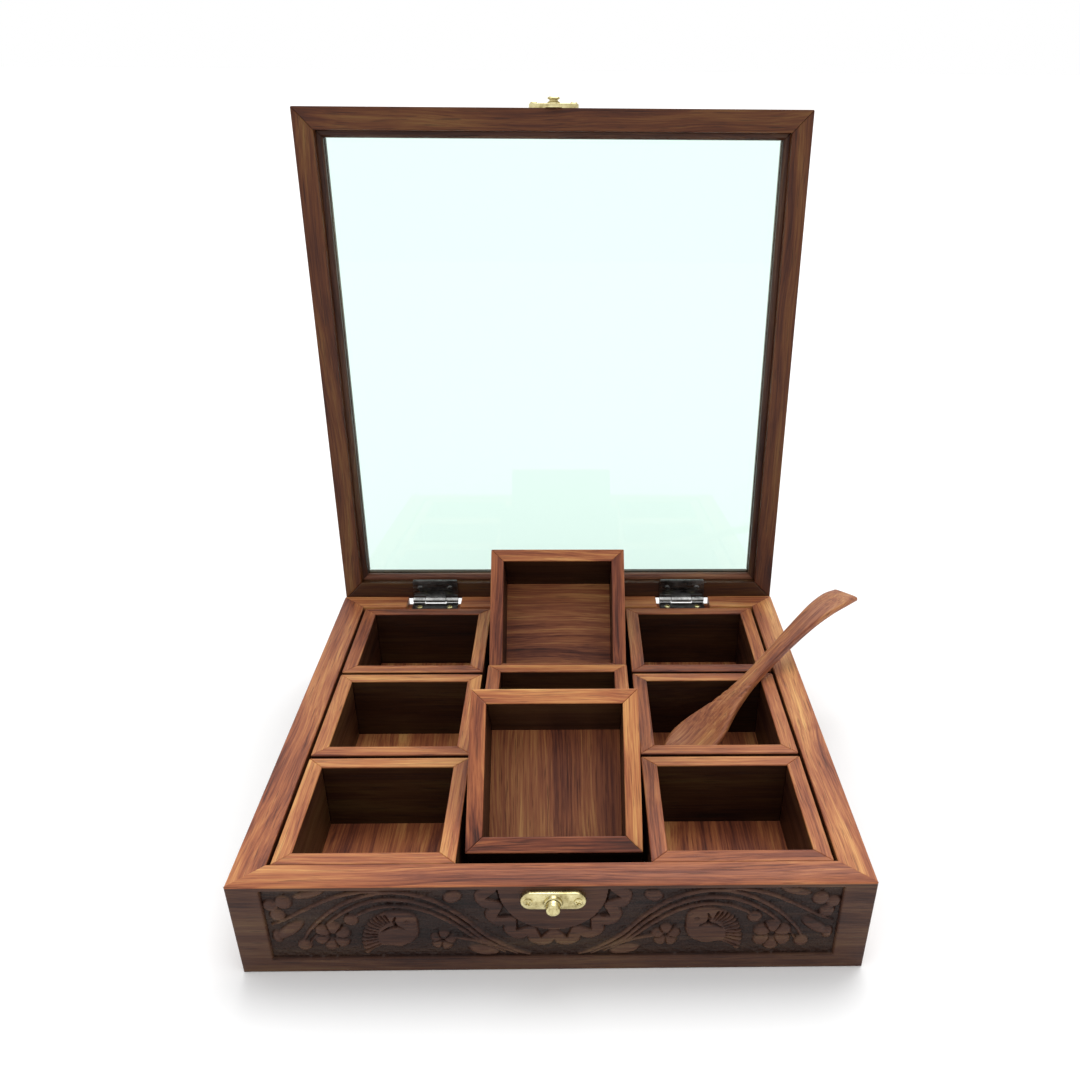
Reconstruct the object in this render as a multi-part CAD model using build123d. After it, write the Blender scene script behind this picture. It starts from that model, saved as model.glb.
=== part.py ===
from build123d import *
import os
from math import cos, degrees, radians, sin, tan

# Wooden masala dabba: a square tray with nine loose spice boxes, a glass lid on two
# butt hinges, a push-button catch and a wooden spoon. Millimetres, +Z up.
#
# Origin: centre of the tray's underside. The front with the catch faces -Y.
# It rests with the lid open, two of the middle boxes propped up and the spoon in a box.

# ---- tray
TRAY_SIDE = 254.0
TRAY_HEIGHT = 46.0
RAIL = 13.0
BASE_THICK = 6.0

# ---- carved panel on the front rail
PANEL_DEPTH = 2.0
PANEL_SIDE_MARGIN = 13.0
PANEL_TOP_MARGIN = 2.5
PANEL_BOTTOM_MARGIN = 7.0
SUN_DISC_R = 21.5
SUN_PETAL_R = 31.0
SUN_PETALS = 8
PETAL_OVERLAP = 1.0
FLOWER_R = 8.0
FLOWER_OUT = 88.0
BLOSSOM_R = 5.5
BLOSSOM_OUT = 44.0
BLOSSOM_DROP = 5.0

# ---- spice boxes, three by three
BOX_GAP = 2.5
BOX_RIM_DROP = 0.8
BOX_WALL = 7.0
BOX_FLOOR = 4.0
BOX_FLOOR_LIFT = 2.4
SEAT_GAP = 0.2
TOUCH_GAP = 0.3
MIDDLE_PUSH = 9.6
FRONT_TILT = 36.0
FRONT_LIFT = 2.6
REAR_LIFT = 3.26

# ---- lid
LID_THICK = 16.0
LID_RAIL = 13.0
RABBET_WIDTH = 3.0
LIP_THICK = 4.0
GLASS_THICK = 3.0
GLASS_GAP = 0.5
BEAD_HEIGHT = 4.0
LID_OPEN = 94.2

# ---- butt hinges
HINGE_X = 73.4
HINGE_WIDTH = 26.6
KNUCKLE_SHY = 0.3
KNUCKLE_R = 1.7
PIN_R = 0.85
PIN_CLEAR = 0.05
MIDDLE_KNUCKLE = 12.0
KNUCKLE_GAP = 0.3
KNUCKLE_BITE = 0.2
LEAF_THICK = 1.2
LEAF_REACH = 12.0
HINGE_SCREW_SPREAD = 17.7
HINGE_SCREW_IN = 7.0
NOTCH_WIDTH = 31.4

# ---- screws
SCREW_R = 0.9
SCREW_LENGTH = 8.0
SCREW_HEAD_R = 1.75
SCREW_HEAD = 0.7
SLOT_LENGTH = 2.4
SLOT_WIDTH = 0.5
SLOT_DEPTH = 0.3

# ---- catch and strike
CATCH_WIDTH = 25.8
CATCH_HEIGHT = 8.1
CATCH_THICK = 2.4
CATCH_BELOW_RIM = 2.5
CATCH_SCREW_SPREAD = 19.6
HOUSING_R = 4.0
HOUSING_OUT = 2.0
BUTTON_R = 2.85
BUTTON_OUT = 5.4
BUTTON_TRAVEL = 2.0
BUTTON_CLEAR = 0.2
BUTTON_ROUND = 0.8
STEM_R = 1.6
STEM_LENGTH = 12.0
COLLAR_R = 2.6
COLLAR_THICK = 0.8
SPRING_BORE_R = 3.0
SPRING_BORE = 10.0
SPRING_R = 2.2
SPRING_WIRE_R = 0.3
SPRING_TURNS = 5
STRIKE_WIDTH = 24.5
STRIKE_THICK = 2.0
STRIKE_ABOVE_RIM = 1.0
KNOB_R = 3.15
KNOB_OUT = 3.0
TONGUE_WIDTH = 8.0
TONGUE_THICK = 1.2
TONGUE_DIP = 1.4

# ---- spoon, lying in the middle-right box with its handle over the right rail
BOWL_LENGTH = 36.0
BOWL_WIDTH = 26.0
BOWL_DEPTH = 6.0
BOWL_WALL = 1.6
HANDLE_LENGTH = 117.0
NECK_WIDTH = 7.0
HANDLE_END_WIDTH = 15.0
HANDLE_THICK = 5.0
SPOON_RIM_CLEAR = 5.6
SPOON_TIP_CLEAR = 12.0
SPOON_CROSSING = 0.435
SPOON_AZIMUTH = 44.6
SPOON_INCLINE = 15.6

# ---- values that follow from the sizes above
HALF = TRAY_SIDE / 2
INNER = TRAY_SIDE - 2 * RAIL
BOX_SIDE = (INNER - 3 * BOX_GAP) / 3
BOX_PITCH = BOX_SIDE + BOX_GAP
BOX_BOTTOM = BASE_THICK + SEAT_GAP
BOX_RIM = TRAY_HEIGHT - BOX_RIM_DROP
BOX_HEIGHT = BOX_RIM - BOX_BOTTOM
HINGE_AXIS_Z = TRAY_HEIGHT - KNUCKLE_R - KNUCKLE_SHY
NOTCH_FLOOR = HINGE_AXIS_Z - KNUCKLE_R + KNUCKLE_BITE - LEAF_THICK
CATCH_Z = TRAY_HEIGHT - CATCH_BELOW_RIM - CATCH_HEIGHT / 2
STRIKE_Z = TRAY_HEIGHT + STRIKE_ABOVE_RIM + CATCH_HEIGHT / 2
COLUMNS = {"left": -1, "centre": 0, "right": 1}
ROWS = {"front": -1, "mid": 0, "rear": 1}


def block(x0, x1, y0, y1, z0, z1):
    """A box between two corners."""
    centre = ((x0 + x1) / 2, (y0 + y1) / 2, (z0 + z1) / 2)
    return Pos(*centre) * Box(x1 - x0, y1 - y0, z1 - z0)


def mitred_frame(side, wall, z0, z1):
    """Four mitred planks of a square frame, in the order front, right, back, left."""
    outer, inner = side / 2, side / 2 - wall
    outline = [(-outer, -outer), (outer, -outer), (inner, -inner), (-inner, -inner)]
    plank = Pos(0, 0, z0) * extrude(make_face(Polyline(outline, close=True)), z1 - z0)
    return [Rot(0, 0, 90 * turn) * plank for turn in range(4)]


def cylinder_y(x, z, y0, y1, radius):
    """A round bar along Y."""
    return Pos(x, (y0 + y1) / 2, z) * Rot(90, 0, 0) * Cylinder(radius, y1 - y0)


def cylinder_x(x0, x1, y, z, radius):
    """A round bar along X."""
    return Pos((x0 + x1) / 2, y, z) * Rot(0, 90, 0) * Cylinder(radius, x1 - x0)


def about_x(angle, y, z):
    """A turn about the line along X through y, z."""
    return Pos(0, y, z) * Rot(angle, 0, 0) * Pos(0, -y, -z)


def screw(length=SCREW_LENGTH):
    """A screw whose head stands on z = 0 and whose shank points down."""
    head = Pos(0, 0, SCREW_HEAD / 2) * Cylinder(SCREW_HEAD_R, SCREW_HEAD)
    slot = Box(SLOT_LENGTH, SLOT_WIDTH, 2 * SLOT_DEPTH)
    slots = [Rot(0, 0, turn) * Pos(0, 0, SCREW_HEAD) * slot for turn in (0, 90)]
    return head - slots + Pos(0, 0, -length / 2) * Cylinder(SCREW_R, length)


# ---- places of the hinges and the screws
HINGE_XS = {"left": -HINGE_X, "right": HINGE_X}
LEAF_TOP = NOTCH_FLOOR + LEAF_THICK
HINGE_SCREW_Y = HALF - HINGE_SCREW_IN


def hinge_screw_places(centre_x, z):
    """The two screws of one hinge leaf."""
    return [Pos(centre_x + side * HINGE_SCREW_SPREAD / 2, HINGE_SCREW_Y, z) for side in (-1, 1)]


def face_screw_places(y, z):
    """The two screws of the catch or the strike, pointing into the wood along +Y."""
    return [Pos(side * CATCH_SCREW_SPREAD / 2, y, z) * Rot(90, 0, 0) for side in (-1, 1)]


def screw_shank():
    return Pos(0, 0, -SCREW_LENGTH / 2) * Cylinder(SCREW_R, SCREW_LENGTH)


# ---- tray
def carved_relief():
    """Raised ground of the carving: a half sun around the catch and a flower pair on each side."""
    sun_z = TRAY_HEIGHT - PANEL_TOP_MARGIN
    depth = (-HALF, -HALF + PANEL_DEPTH)
    relief = cylinder_y(0, sun_z, *depth, SUN_DISC_R)
    for petal in range(SUN_PETALS):
        angle = radians(180 + 180 * (petal + 0.5) / SUN_PETALS)
        reach = (SUN_DISC_R + SUN_PETAL_R) / 2
        x, z = reach * cos(angle), sun_z + reach * sin(angle)
        relief += cylinder_y(x, z, *depth, (SUN_PETAL_R - SUN_DISC_R) / 2 + PETAL_OVERLAP)
    middle_z = (sun_z + PANEL_BOTTOM_MARGIN) / 2
    for side in (-1, 1):
        relief += cylinder_y(side * FLOWER_OUT, middle_z, *depth, FLOWER_R)
        relief += cylinder_y(side * BLOSSOM_OUT, middle_z - BLOSSOM_DROP, *depth, BLOSSOM_R)
    return relief


def front_rail(plank):
    reach = HALF - PANEL_SIDE_MARGIN
    top = TRAY_HEIGHT - PANEL_TOP_MARGIN
    panel = block(-reach, reach, -HALF, -HALF + PANEL_DEPTH, PANEL_BOTTOM_MARGIN, top)
    rail = plank - (panel - carved_relief())
    rail -= cylinder_y(0, CATCH_Z, -HALF, -HALF + SPRING_BORE, SPRING_BORE_R)
    for place in face_screw_places(-HALF - CATCH_THICK, CATCH_Z):
        rail -= place * screw_shank()
    return rail


def back_rail(plank):
    rail = plank
    for centre_x in HINGE_XS.values():
        half = NOTCH_WIDTH / 2
        rail -= block(centre_x - half, centre_x + half, HALF - RAIL, HALF, NOTCH_FLOOR, TRAY_HEIGHT)
        for place in hinge_screw_places(centre_x, LEAF_TOP):
            rail -= place * screw_shank()
    return rail


def tray():
    front, right, back, left = mitred_frame(TRAY_SIDE, RAIL, 0, TRAY_HEIGHT)
    return {
        "tray_front_rail": front_rail(front),
        "tray_right_rail": right,
        "tray_back_rail": back_rail(back),
        "tray_left_rail": left,
        "tray_base_panel": Pos(0, 0, BASE_THICK / 2) * Box(INNER, INNER, BASE_THICK),
    }


# ---- spice boxes
def seated_box():
    """One spice box with its bottom front edge on the X axis: walls and floor."""
    to_edge = Pos(0, BOX_SIDE / 2, 0)
    walls = Compound([to_edge * plank for plank in mitred_frame(BOX_SIDE, BOX_WALL, 0, BOX_HEIGHT)])
    inside = BOX_SIDE - 2 * BOX_WALL
    floor = to_edge * Pos(0, 0, BOX_FLOOR_LIFT + BOX_FLOOR / 2) * Box(inside, inside, BOX_FLOOR)
    return walls, floor


def front_box_place():
    """Tipped forward: its underside leans on the front rim of the middle box."""
    tilt = radians(FRONT_TILT)
    edge_z = BASE_THICK + FRONT_LIFT
    middle_front = MIDDLE_PUSH - BOX_SIDE / 2
    edge_y = middle_front - (BOX_RIM + TOUCH_GAP / cos(tilt) - edge_z) / tan(tilt)
    return Pos(0, edge_y, edge_z) * Rot(FRONT_TILT, 0, 0)


def rear_box_edge(tilt):
    """Where the bottom front edge lies when the rear middle box leans back by tilt."""
    middle_back = MIDDLE_PUSH + BOX_SIDE / 2
    edge_y = middle_back + TOUCH_GAP + BOX_HEIGHT * sin(tilt)
    rail_y = HALF - RAIL
    edge_z = TRAY_HEIGHT + TOUCH_GAP / cos(tilt) - (rail_y - edge_y) * tan(tilt)
    return edge_y, edge_z


def rear_box_place():
    """Wedged: its rim is caught behind the middle box, its underside lies on the back rail.

    The steeper it leans, the lower its edge; the lean that leaves REAR_LIFT is found by halving.
    """
    shallow, steep = radians(5), radians(65)
    for _ in range(50):
        tilt = (shallow + steep) / 2
        edge_y, edge_z = rear_box_edge(tilt)
        if edge_z > BASE_THICK + REAR_LIFT:
            shallow = tilt
        else:
            steep = tilt
    return Pos(0, edge_y, edge_z) * Rot(degrees(tilt), 0, 0)


def box_place(row, column):
    """Where the bottom front edge of a spice box lies, and how far the box is tipped."""
    if column == "centre" and row == "front":
        return front_box_place()
    if column == "centre" and row == "rear":
        return rear_box_place()
    push = MIDDLE_PUSH if column == "centre" else 0
    y = ROWS[row] * BOX_PITCH - BOX_SIDE / 2 + push
    return Pos(COLUMNS[column] * BOX_PITCH, y, BOX_BOTTOM)


def spice_boxes():
    walls, floor = seated_box()
    nodes = {}
    for row in ROWS:
        for column in COLUMNS:
            place = box_place(row, column)
            nodes[f"{row}_{column}_box_walls"] = place * walls
            nodes[f"{row}_{column}_box_floor"] = place * floor
    return nodes


# ---- lid, drawn closed on the tray and then turned open
def lid_frame():
    bottom, top = TRAY_HEIGHT, TRAY_HEIGHT + LID_THICK
    rebate_side = TRAY_SIDE - 2 * (LID_RAIL - RABBET_WIDTH)
    rebate = Pos(0, 0, (bottom + top - LIP_THICK) / 2)
    rebate *= Box(rebate_side, rebate_side, LID_THICK - LIP_THICK)
    front, right, back, left = [p - rebate for p in mitred_frame(TRAY_SIDE, LID_RAIL, bottom, top)]
    for centre_x in HINGE_XS.values():
        for place in hinge_screw_places(centre_x, TRAY_HEIGHT - LEAF_THICK):
            back -= place * Rot(180, 0, 0) * screw_shank()
    for place in face_screw_places(-HALF - STRIKE_THICK, STRIKE_Z):
        front -= place * screw_shank()
    glass_top = top - LIP_THICK
    glass_side = rebate_side - 2 * GLASS_GAP
    glass = Pos(0, 0, glass_top - GLASS_THICK / 2) * Box(glass_side, glass_side, GLASS_THICK)
    bead_top = glass_top - GLASS_THICK
    beads = mitred_frame(rebate_side, RABBET_WIDTH, bead_top - BEAD_HEIGHT, bead_top)
    nodes = {
        "lid_front_rail": front,
        "lid_right_stile": right,
        "lid_back_rail": back,
        "lid_left_stile": left,
        "lid_glass_pane": glass,
    }
    for name, bead in zip(("front", "right", "back", "left"), beads):
        nodes[f"glass_bead_{name}"] = bead
    return nodes


def rounded_plate(width, thick, z, y=-HALF):
    """A flat plate with round ends, standing on the wood at y and facing -Y."""
    outline = Pos(0, y, z) * Rot(90, 0, 0) * SlotOverall(width, CATCH_HEIGHT)
    return extrude(outline, thick)


def strike():
    plate = rounded_plate(STRIKE_WIDTH, STRIKE_THICK, STRIKE_Z)
    plate += cylinder_y(0, STRIKE_Z, -HALF - STRIKE_THICK - KNOB_OUT, -HALF - STRIKE_THICK, KNOB_R)
    tip = TRAY_HEIGHT - CATCH_BELOW_RIM - TONGUE_DIP
    half = TONGUE_WIDTH / 2
    plate += block(-half, half, -HALF - TONGUE_THICK, -HALF, tip, STRIKE_Z)
    places = face_screw_places(-HALF - STRIKE_THICK, STRIKE_Z)
    for place in places:
        plate -= place * screw_shank()
    return {"strike_plate": plate, "strike_screws": Compound([p * screw() for p in places])}


def catch():
    """Push-button catch on the front rail; the button is its own moving piece."""
    front = -HALF - CATCH_THICK
    plate = rounded_plate(CATCH_WIDTH, CATCH_THICK, CATCH_Z)
    plate += cylinder_y(0, CATCH_Z, front - HOUSING_OUT, front, HOUSING_R)
    plate -= cylinder_y(0, CATCH_Z, front - HOUSING_OUT, front, BUTTON_R + BUTTON_CLEAR)
    plate -= cylinder_y(0, CATCH_Z, front, -HALF, STEM_R + BUTTON_CLEAR)
    slot_half = TONGUE_WIDTH / 2 + TOUCH_GAP
    slot_top = CATCH_Z + CATCH_HEIGHT / 2
    slot_floor = slot_top - TONGUE_DIP - TOUCH_GAP
    plate -= block(-slot_half, slot_half, -HALF - TONGUE_THICK - TOUCH_GAP, -HALF, slot_floor, slot_top)
    places = face_screw_places(front, CATCH_Z)
    for place in places:
        plate -= place * screw_shank()
    cap_back = front - BUTTON_TRAVEL - BUTTON_CLEAR
    collar_front = -HALF + TOUCH_GAP
    button = cylinder_y(0, CATCH_Z, front - BUTTON_OUT, cap_back, BUTTON_R)
    button = fillet(button.edges().group_by(Axis.Y)[0], BUTTON_ROUND)
    button += cylinder_y(0, CATCH_Z, cap_back, cap_back + STEM_LENGTH, STEM_R)
    button += cylinder_y(0, CATCH_Z, collar_front, collar_front + COLLAR_THICK, COLLAR_R)
    spring_back = -HALF + SPRING_BORE - SPRING_WIRE_R
    spring_front = collar_front + COLLAR_THICK + BUTTON_TRAVEL + TOUCH_GAP + SPRING_WIRE_R
    height = spring_back - spring_front
    coil = Helix(height / SPRING_TURNS, height, SPRING_R)
    wire = Plane(origin=coil @ 0, z_dir=coil % 0) * Circle(SPRING_WIRE_R)
    spring = Pos(0, spring_back, CATCH_Z) * Rot(90, 0, 0) * sweep(wire, path=coil)
    return {
        "catch_plate": plate,
        "catch_screws": Compound([p * screw() for p in places]),
        "catch_button": button,
        "catch_spring": spring,
    }


# ---- hinges
def hinge_leaf(centre_x, leaf_z, knuckles, bore_r):
    """A leaf whose lower face is at leaf_z, with the knuckles given as spans along X."""
    half = HINGE_WIDTH / 2
    shy = HALF - KNUCKLE_R - KNUCKLE_GAP
    front = HALF - LEAF_REACH
    leaf = block(centre_x - half, centre_x + half, front, shy, leaf_z, leaf_z + LEAF_THICK)
    for start, end in knuckles:
        leaf += block(start, end, front, HALF, leaf_z, leaf_z + LEAF_THICK)
        leaf += cylinder_x(start, end, HALF, HINGE_AXIS_Z, KNUCKLE_R)
    for start, end in knuckles:
        leaf -= cylinder_x(start, end, HALF, HINGE_AXIS_Z, bore_r)
    return leaf


def hinges():
    """Fixed pieces stay with the tray, the others turn with the lid."""
    fixed, turning = {}, {}
    upper_z = TRAY_HEIGHT - LEAF_THICK
    for side, centre_x in HINGE_XS.items():
        half, middle = HINGE_WIDTH / 2, MIDDLE_KNUCKLE / 2
        outer_knuckles = [
            (centre_x - half, centre_x - middle - KNUCKLE_GAP),
            (centre_x + middle + KNUCKLE_GAP, centre_x + half),
        ]
        lower = hinge_leaf(centre_x, NOTCH_FLOOR, outer_knuckles, PIN_R)
        upper = hinge_leaf(centre_x, upper_z, [(centre_x - middle, centre_x + middle)], PIN_R + PIN_CLEAR)
        lower_places = hinge_screw_places(centre_x, LEAF_TOP)
        upper_places = [p * Rot(180, 0, 0) for p in hinge_screw_places(centre_x, upper_z)]
        for place in lower_places:
            lower -= place * screw_shank()
        for place in upper_places:
            upper -= place * screw_shank()
        fixed[f"{side}_hinge_lower_leaf"] = lower
        fixed[f"{side}_hinge_pin"] = cylinder_x(centre_x - half, centre_x + half, HALF, HINGE_AXIS_Z, PIN_R)
        fixed[f"{side}_hinge_lower_screws"] = Compound([p * screw() for p in lower_places])
        turning[f"{side}_hinge_upper_leaf"] = upper
        turning[f"{side}_hinge_upper_screws"] = Compound([p * screw() for p in upper_places])
    return fixed, turning


# ---- spoon
def spoon():
    """Drawn along +X from the tip of its bowl, then laid in the middle-right box."""
    shape = (BOWL_LENGTH / 2, BOWL_WIDTH / 2, BOWL_DEPTH)
    outer = scale(Sphere(1), shape)
    hollow = scale(Sphere(1), tuple(size - BOWL_WALL for size in shape))
    lower_half = Pos(0, 0, -BOWL_DEPTH / 2) * Box(BOWL_LENGTH, BOWL_WIDTH, BOWL_DEPTH)
    bowl = Pos(BOWL_LENGTH / 2, 0, 0) * ((outer & lower_half) - hollow)
    start = BOWL_LENGTH - BOWL_WALL
    end = start + HANDLE_LENGTH
    outline = Polyline(
        (start, -NECK_WIDTH / 2), (end, -HANDLE_END_WIDTH / 2), (end, HANDLE_END_WIDTH / 2),
        (start, NECK_WIDTH / 2), close=True)
    handle = Pos(0, 0, -HANDLE_THICK / 2) * extrude(make_face(outline), HANDLE_THICK)
    handle -= Pos(BOWL_LENGTH / 2, 0, 0) * hollow
    cross_x = SPOON_CROSSING * BOX_SIDE
    crossing = Pos(BOX_PITCH + cross_x, (BOX_SIDE - BOX_WALL) / 2, BOX_RIM + SPOON_RIM_CLEAR)
    to_wall = cross_x + BOX_SIDE / 2 - BOX_WALL
    tip_reach = to_wall / (cos(radians(SPOON_AZIMUTH)) * cos(radians(SPOON_INCLINE))) - SPOON_TIP_CLEAR
    lie = crossing * Rot(0, 0, SPOON_AZIMUTH) * Rot(0, -SPOON_INCLINE, 0) * Pos(-tip_reach, 0, 0)
    return lie * (bowl + handle)


def build():
    nodes = {**tray(), **spice_boxes(), **catch(), "spoon": spoon()}
    fixed_hinge, turning_hinge = hinges()
    nodes.update(fixed_hinge)
    open_lid = about_x(-LID_OPEN, HALF, HINGE_AXIS_Z)
    for name, solid in {**lid_frame(), **strike(), **turning_hinge}.items():
        nodes[name] = open_lid * solid
    return nodes


os.makedirs("parts", exist_ok=True)
for node_name, solid in build().items():
    export_step(solid, f"parts/{node_name}.step")
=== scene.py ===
from math import atan2, copysign, cos, hypot, pi, radians, sin, tan

import bmesh
import bpy
import numpy as np
from mathutils import Matrix, Vector


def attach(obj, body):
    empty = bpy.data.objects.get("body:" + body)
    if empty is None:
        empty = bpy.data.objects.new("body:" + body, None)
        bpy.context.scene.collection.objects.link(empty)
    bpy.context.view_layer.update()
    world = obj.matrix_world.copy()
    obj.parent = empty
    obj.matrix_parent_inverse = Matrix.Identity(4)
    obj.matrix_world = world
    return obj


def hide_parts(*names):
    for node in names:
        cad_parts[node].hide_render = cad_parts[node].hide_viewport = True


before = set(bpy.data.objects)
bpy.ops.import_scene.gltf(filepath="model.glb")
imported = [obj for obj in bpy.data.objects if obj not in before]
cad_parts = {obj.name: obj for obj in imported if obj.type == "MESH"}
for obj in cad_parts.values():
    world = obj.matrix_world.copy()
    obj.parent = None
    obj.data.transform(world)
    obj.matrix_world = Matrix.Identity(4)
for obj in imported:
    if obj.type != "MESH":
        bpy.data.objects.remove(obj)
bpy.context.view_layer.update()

# Sizes are in millimetres until add_piece brings a mesh to metres.
MM = 0.001
TRAY_SIDE, TRAY_HEIGHT, RAIL, BASE_THICK = 254.0, 46.0, 13.0, 6.0
HALF = TRAY_SIDE / 2
PANEL_HALF, PANEL_LOW, PANEL_HIGH, PANEL_DEPTH = 114.0, 7.0, 43.6, 2.0
BOX_GAP, BOX_WALL, BOX_FLOOR, BOX_FLOOR_LIFT = 2.5, 7.0, 4.0, 2.4
BOX_BOTTOM, BOX_RIM = 6.2, 45.2
BOX_HEIGHT = BOX_RIM - BOX_BOTTOM
BOX_SIDE = (TRAY_SIDE - 2 * RAIL - 3 * BOX_GAP) / 3
BOX_PITCH = BOX_SIDE + BOX_GAP
MIDDLE_PUSH, FRONT_TILT, REAR_TILT, TOUCH_GAP, FRONT_LIFT = 9.6, 36.0, 42.0, 0.3, 2.6
LID_THICK, LID_OPEN, LIP_THICK, GLASS_THICK, BEAD_HEIGHT = 16.0, 94.2, 4.0, 3.0, 4.0
RABBET_WIDTH, GLASS_GAP = 3.0, 0.5
HINGE_X, HINGE_WIDTH, HINGE_AXIS_Z, KNUCKLE_R, LEAF_THICK = 73.4, 26.6, 44.0, 1.7, 1.2
LEAF_REACH, HINGE_SCREW_Y, HINGE_SCREW_SPREAD, NOTCH_WIDTH = 12.0, 120.0, 17.7, 31.4
MIDDLE_KNUCKLE, KNUCKLE_GAP, KNUCKLE_BITE, PIN_R = 12.0, 0.3, 0.2, 0.85
NOTCH_FLOOR = HINGE_AXIS_Z - KNUCKLE_R + KNUCKLE_BITE - LEAF_THICK
CATCH_Z, STRIKE_Z, CATCH_HEIGHT, CATCH_WIDTH, CATCH_THICK = 39.45, 51.05, 8.1, 25.8, 2.4
STRIKE_WIDTH, STRIKE_THICK, KNOB_R, KNOB_OUT = 24.5, 2.0, 3.15, 3.0
HOUSING_R, HOUSING_OUT, BUTTON_R, BUTTON_OUT, BUTTON_TRAVEL = 4.0, 2.0, 2.85, 5.4, 2.0
CATCH_SCREW_SPREAD, SCREW_HEAD_R, SCREW_HEAD = 19.6, 1.75, 0.7
ROWS = {"front": -1, "mid": 0, "rear": 1}
COLUMNS = {"left": -1, "centre": 0, "right": 1}


# ---------------------------------------------------------------- places
def shift(x, y, z):
    return Matrix.Translation((x, y, z))


def turn(angle, axis):
    return Matrix.Rotation(radians(angle), 4, axis)


def about_x(angle, y, z):
    """A turn about the line along X through y, z."""
    return shift(0, y, z) @ turn(angle, "X") @ shift(0, -y, -z)


OPEN_LID = about_x(-LID_OPEN, HALF, HINGE_AXIS_Z)


def box_place(row, column):
    """Where the bottom front edge of a spice box lies, and how far the box is tipped."""
    if column == "centre" and row == "front":
        tilt, edge_z = radians(FRONT_TILT), BASE_THICK + FRONT_LIFT
        middle_front = MIDDLE_PUSH - BOX_SIDE / 2
        edge_y = middle_front - (BOX_RIM + TOUCH_GAP / cos(tilt) - edge_z) / tan(tilt)
        return shift(0, edge_y, edge_z) @ turn(FRONT_TILT, "X")
    if column == "centre" and row == "rear":
        tilt = radians(REAR_TILT)
        edge_y = MIDDLE_PUSH + BOX_SIDE / 2 + TOUCH_GAP + BOX_HEIGHT * sin(tilt)
        edge_z = TRAY_HEIGHT + TOUCH_GAP / cos(tilt) - (HALF - RAIL - edge_y) * tan(tilt)
        return shift(0, edge_y, edge_z) @ turn(REAR_TILT, "X")
    push = MIDDLE_PUSH if column == "centre" else 0
    y = ROWS[row] * BOX_PITCH - BOX_SIDE / 2 + push
    return shift(COLUMNS[column] * BOX_PITCH, y, BOX_BOTTOM)


# ---------------------------------------------------------------- finishes
class Finish:
    """A node material being put together around one Principled shader."""

    def __init__(self, name):
        self.material = bpy.data.materials.new(name)
        self.material.use_nodes = True
        self.tree = self.material.node_tree
        self.tree.nodes.clear()
        self.shader = self.add("ShaderNodeBsdfPrincipled")
        out = self.add("ShaderNodeOutputMaterial")
        self.tree.links.new(self.shader.outputs[0], out.inputs[0])
        self.coords = self.add("ShaderNodeTexCoord").outputs["Object"]

    def add(self, kind, inputs=None, **settings):
        made = self.tree.nodes.new(kind)
        for key, value in settings.items():
            setattr(made, key, value)
        for key, value in (inputs or {}).items():
            if isinstance(value, bpy.types.NodeSocket):
                self.tree.links.new(value, made.inputs[key])
            else:
                made.inputs[key].default_value = value
        return made

    def stretched(self, vector, scale, location=(0, 0, 0)):
        inputs = {"Vector": vector, "Scale": scale, "Location": location}
        return self.add("ShaderNodeMapping", inputs).outputs[0]

    def noise(self, vector, scale, detail=3.0, roughness=0.55):
        inputs = {"Vector": vector, "Scale": scale, "Detail": detail, "Roughness": roughness}
        return self.add("ShaderNodeTexNoise", inputs).outputs["Fac"]

    def maths(self, operation, a, b=0.0, c=0.0):
        return self.add("ShaderNodeMath", {0: a, 1: b, 2: c}, operation=operation).outputs[0]

    def span(self, value, low, high, to_low=0.0, to_high=1.0):
        inputs = {0: value, 1: low, 2: high, 3: to_low, 4: to_high}
        made = self.add("ShaderNodeMapRange", inputs, interpolation_type="SMOOTHSTEP")
        return made.outputs[0]

    def mix(self, factor, a, b, blend="MIX"):
        made = self.add("ShaderNodeMix", data_type="RGBA", blend_type=blend)
        for index, value in ((0, factor), (6, a), (7, b)):
            if isinstance(value, bpy.types.NodeSocket):
                self.tree.links.new(value, made.inputs[index])
            else:
                made.inputs[index].default_value = value
        return made.outputs[2]

    def ramp(self, value, stops):
        made = self.add("ShaderNodeValToRGB", {0: value})
        elements = made.color_ramp.elements
        while len(elements) < len(stops):
            elements.new(0.5)
        for element, (position, colour) in zip(elements, stops):
            element.position = position
            element.color = (*colour, 1)
        return made.outputs[0]

    def give(self, **inputs):
        for key, value in inputs.items():
            socket = self.shader.inputs[key.replace("_", " ")]
            if isinstance(value, bpy.types.NodeSocket):
                self.tree.links.new(value, socket)
            else:
                socket.default_value = value

    def bump(self, height, strength, distance):
        inputs = {"Height": height, "Strength": strength, "Distance": distance}
        normal = self.add("ShaderNodeBump", inputs).outputs[0]
        self.tree.links.new(normal, self.shader.inputs["Normal"])


WOOD_STOPS = (
    (0.08, (0.045, 0.014, 0.010)),
    (0.28, (0.175, 0.046, 0.023)),
    (0.50, (0.345, 0.108, 0.042)),
    (0.70, (0.500, 0.205, 0.072)),
    (0.92, (0.690, 0.370, 0.125)),
)
draws = np.random.default_rng(7)


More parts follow.
